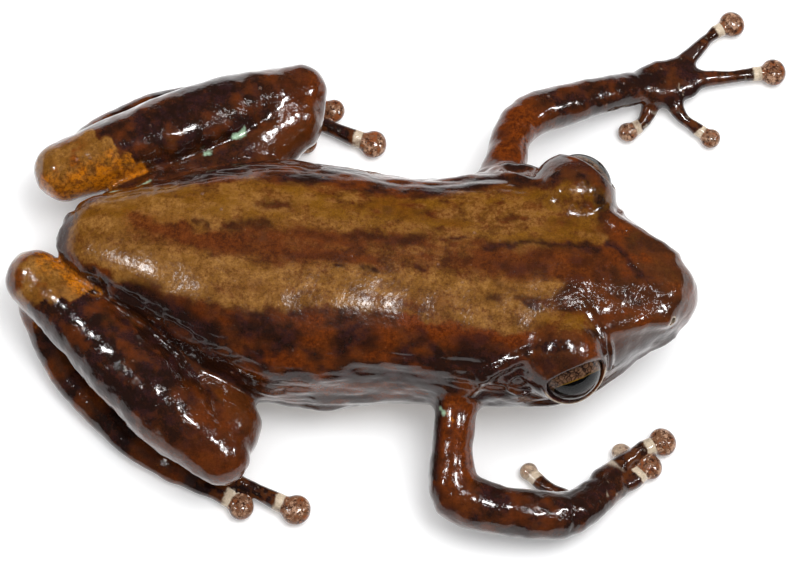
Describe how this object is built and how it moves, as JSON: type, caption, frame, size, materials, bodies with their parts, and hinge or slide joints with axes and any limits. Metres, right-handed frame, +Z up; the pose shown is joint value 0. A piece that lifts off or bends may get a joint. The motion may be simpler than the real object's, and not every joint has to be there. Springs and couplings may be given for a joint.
{
  "type": "leaf-litter frog",
  "caption": "Small glossy brown leaf-litter frog crouched with bent legs and spread, disc-tipped fingers, as a still, life-size model.",
  "frame": {"origin": "on the floor, in the flat under the middle of the belly", "axes": "+X towards the snout, +Y to the frog's left, +Z up from the floor"},
  "size_m": [0.0312, 0.0249, 0.007],
  "materials": {
    "wet_skin": "wet, finely granular skin, golden brown on the back and dark red-brown on the sides and limbs",
    "eye": "clear cornea over a bronze iris with a level black pupil"
  },
  "bodies": {
    "root": {"head": "wet_skin", "torso": "wet_skin", "eye_left": "eye", "eye_right": "eye", "upper_arm_left": "wet_skin", "upper_arm_right": "wet_skin", "forearm_left": "wet_skin", "forearm_right": "wet_skin", "hand_left": "wet_skin", "hand_right": "wet_skin", "thigh_left": "wet_skin", "thigh_right": "wet_skin", "shank_left": "wet_skin", "shank_right": "wet_skin", "tarsus_left": "wet_skin", "tarsus_right": "wet_skin", "foot_left": "wet_skin", "foot_right": "wet_skin"}
  },
  "joints": []
}
